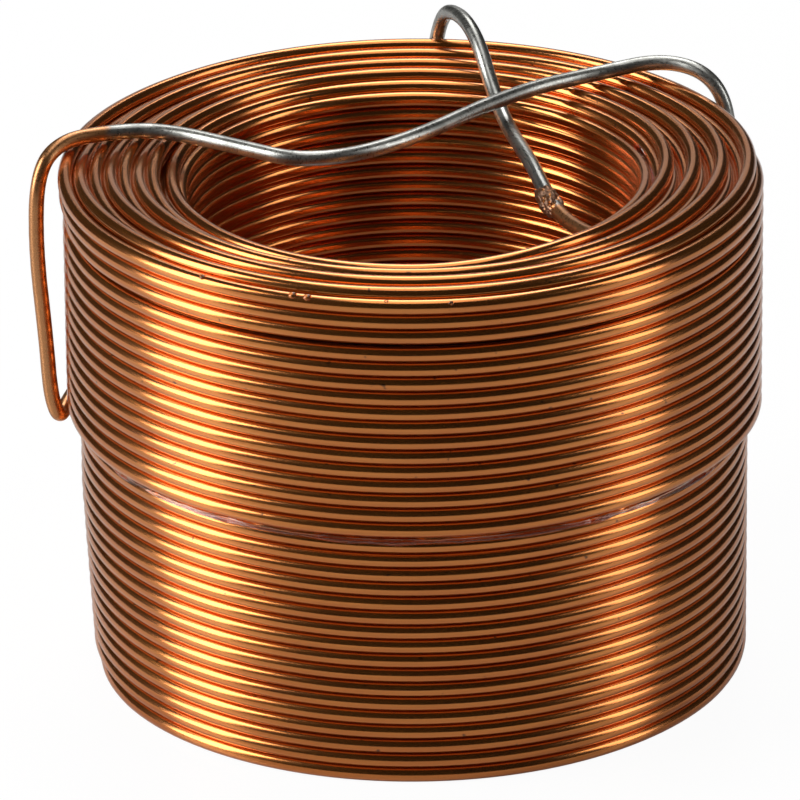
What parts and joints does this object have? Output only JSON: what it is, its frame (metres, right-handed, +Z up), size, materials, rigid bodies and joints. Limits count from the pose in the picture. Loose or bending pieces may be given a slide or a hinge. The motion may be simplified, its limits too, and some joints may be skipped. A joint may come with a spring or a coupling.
{
  "type": "air core inductor",
  "caption": "Self-supporting cylindrical coil of enamelled copper wire with an open bore and two solderable leads that cross its top.",
  "frame": {"origin": "centre of the coil's bore in the plane of its base", "axes": "+Z up the coil's axis, -Y towards the front, -X towards the side where the finish lead rises"},
  "size_m": [0.0499, 0.049, 0.0392],
  "materials": {
    "enamelled_copper": null,
    "tinned_copper": "copper wire, enamelled near the coil and bright tinned beyond",
    "solder": "dull lumpy solder",
    "clear_varnish": "clear glossy varnish"
  },
  "bodies": {
    "root": {"winding": "enamelled_copper", "finish_lead": "tinned_copper", "start_lead": "tinned_copper", "solder_lump": "solder", "bonding_varnish": "clear_varnish"}
  },
  "joints": []
}
